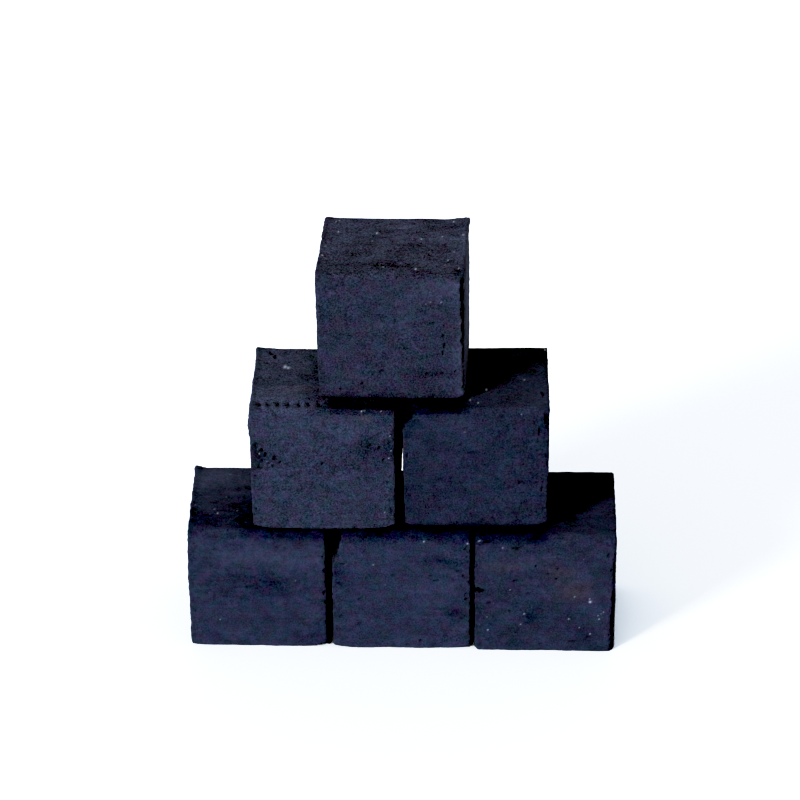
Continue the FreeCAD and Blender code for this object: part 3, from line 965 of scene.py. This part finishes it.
def build_cube(node, body):
    """Make the sculpted piece that stands for one CAD cube."""
    middle, half, spin = cube_axes(node)
    points, squares, layout, masks = sculpt(half, node)
    placed = points * MM @ spin.T + middle
    mesh = bpy.data.meshes.new(node + "_skin")
    mesh.vertices.add(len(placed))
    mesh.vertices.foreach_set("co", placed.ravel())
    mesh.loops.add(squares.size)
    mesh.loops.foreach_set("vertex_index", squares.ravel())
    mesh.polygons.add(len(squares))
    mesh.polygons.foreach_set("loop_start", np.arange(0, squares.size, 4))
    mesh.update(calc_edges=True)
    mesh.shade_smooth()
    flat = mesh.uv_layers.new(name="OFBake")
    flat.data.foreach_set("uv", layout.ravel())
    for name, values in masks.items():
        mask = mesh.attributes.new(name, "FLOAT", "POINT")
        mask.data.foreach_set("value", values.astype(np.float32))
    piece = bpy.data.objects.new(node + "_sculpted", mesh)
    bpy.context.scene.collection.objects.link(piece)
    detail = CUBES[node]
    material = charcoal_material(
        "charcoal_" + node, detail["seed"], detail["tone"], detail["grain"], detail["tint"])
    mesh.materials.append(material)
    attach(piece, body)
    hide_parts(node)


# ---------------------------------------------------------------- stage

FLOOR_HALF_SIZE = 2.5
FLOOR_LEVEL = -0.00003    # a hair under the cubes, so the two surfaces never share a plane
SKY_COLOUR = (0.93, 0.98, 1.07, 1.0)
SKY_LEVEL = 0.72          # brightness of the whole sky
SKY_HORIZON_GAIN = 1.44   # what the sky gains at the horizon
SKY_FALL = 3.0            # how quickly that gain is lost higher up
SKY_LEAN = (-0.45, -0.45) # how much of that gain moves to the left and to the front
KEY_STRENGTH = 3.6
KEY_COLOUR = (0.97, 1.02, 1.0)
KEY_SIDE = -45.0          # degrees to the right of the front
KEY_HEIGHT = 22.0         # degrees above the floor
KEY_SPREAD = 11.0         # degrees across: how soft its shadows are
FLOOR_COLOUR = (0.94, 0.975, 0.99, 1.0)
FLOOR_ROUGHNESS = 0.45

# The picture's tone: where black starts, and the points that its curves run through.
BLACK_LEVEL = (0.023, 0.029, 0.058)
SHOULDER = ((0.2, 0.2), (0.35, 0.48), (0.52, 0.78), (0.69, 0.91), (0.85, 0.96))
BLUE_CURVE = ((0.010, 0.0165), (0.058, 0.058), (0.5, 0.5), (0.7, 0.76), (0.83, 0.935), (0.93, 0.985))
GREEN_CURVE = ((0.5, 0.5), (0.82, 0.845), (0.94, 0.966))


def build_floor():
    """A plain white table top, big enough to fill every view."""
    mesh = bpy.data.meshes.new("floor")
    turns = ((-1, -1), (1, -1), (1, 1), (-1, 1))
    corners = [(x * FLOOR_HALF_SIZE, y * FLOOR_HALF_SIZE, FLOOR_LEVEL) for x, y in turns]
    mesh.from_pydata(corners, [], [(0, 1, 2, 3)])
    floor = bpy.data.objects.new("floor", mesh)
    bpy.context.scene.collection.objects.link(floor)
    shader = Shader("white_table")
    shader.surface.inputs["Base Color"].default_value = FLOOR_COLOUR
    shader.surface.inputs["Roughness"].default_value = FLOOR_ROUGHNESS
    mesh.materials.append(shader.material)


def direction(side, height):
    """The way to something at an angle to the right of the front and above the floor."""
    side, height = math.radians(side), math.radians(height)
    return Vector((math.sin(side) * math.cos(height), -math.cos(side) * math.cos(height),
                   math.sin(height)))


def build_light():
    """A soft white sky and one soft key from the front left."""
    world = bpy.data.worlds.new("sky")
    bpy.context.scene.world = world
    world.use_nodes = True
    nodes, links = world.node_tree.nodes, world.node_tree.links
    background = nodes["Background"]
    background.inputs["Color"].default_value = SKY_COLOUR
    way = nodes.new("ShaderNodeTexCoord")
    parts = nodes.new("ShaderNodeSeparateXYZ")
    links.new(way.outputs["Generated"], parts.inputs[0])

    def step(operation, one, two):
        node = nodes.new("ShaderNodeMath")
        node.operation = operation
        for socket, value in zip(node.inputs, (one, two)):
            if isinstance(value, bpy.types.NodeSocket):
                links.new(value, socket)
            else:
                socket.default_value = value
        return node.outputs[0]

    lowness = step("POWER", step("SUBTRACT", 1.0, parts.outputs["Z"]), SKY_FALL)
    sideways = step("MULTIPLY", parts.outputs["X"], SKY_LEAN[0])
    forwards = step("MULTIPLY", parts.outputs["Y"], SKY_LEAN[1])
    lean = step("ADD", 1.0, step("ADD", sideways, forwards))
    horizon = step("MULTIPLY", step("MULTIPLY", lowness, lean), SKY_HORIZON_GAIN)
    links.new(step("ADD", horizon, SKY_LEVEL), background.inputs["Strength"])
    key = bpy.data.lights.new("key", "SUN")
    key.energy = KEY_STRENGTH
    key.color = KEY_COLOUR
    key.angle = math.radians(KEY_SPREAD)
    lamp = bpy.data.objects.new("key", key)
    lamp.rotation_euler = direction(KEY_SIDE, KEY_HEIGHT).to_track_quat("Z", "Y").to_euler()
    bpy.context.scene.collection.objects.link(lamp)


def set_tone():
    """Plain colours with the blacks pulled down, as in a contrasty product picture."""
    view = bpy.context.scene.view_settings
    view.view_transform = "Standard"
    view.look = "None"
    view.use_curve_mapping = True
    view.curve_mapping.black_level = BLACK_LEVEL
    red, green, blue, combined = view.curve_mapping.curves
    for place in SHOULDER:
        combined.points.new(*place)
    for curve, places in ((green, GREEN_CURVE), (blue, BLUE_CURVE)):
        for place in places:
            curve.points.new(*place).handle_type = "VECTOR"
    view.curve_mapping.update()


# ---------------------------------------------------------------- camera

LENS = 150.74             # millimetres
SENSOR_WIDTH = 36.0       # millimetres
CAMERA_DISTANCE = 0.6062
CAMERA_HEIGHT_ANGLE = 27.46
CAMERA_SIDE_ANGLE = 1.77  # degrees to the right of the front
CAMERA_ROLL = -0.43
AIM_FROM_CENTRE = (-0.00055, 0.0, 0.00709)


def build_camera():
    """A long lens, a little above the pyramid and almost square to its front."""
    aim = (cad_low + cad_high) / 2 + Vector(AIM_FROM_CENTRE)
    back = direction(CAMERA_SIDE_ANGLE, CAMERA_HEIGHT_ANGLE)
    data = bpy.data.cameras.new("camera")
    data.lens = LENS
    data.sensor_width = SENSOR_WIDTH
    data.clip_start = 0.01
    data.clip_end = 20.0
    camera = bpy.data.objects.new("camera", data)
    turn = back.to_track_quat("Z", "Y").to_matrix().to_4x4()
    roll = Matrix.Rotation(math.radians(CAMERA_ROLL), 4, "Z")
    camera.matrix_world = Matrix.Translation(aim + back * CAMERA_DISTANCE) @ turn @ roll
    bpy.context.scene.collection.objects.link(camera)
    bpy.context.scene.camera = camera


build_camera()
build_floor()
build_light()
set_tone()
for body, nodes in frame["record"]["behaviour"]["bodies"].items():
    for node in nodes:
        build_cube(node, body)
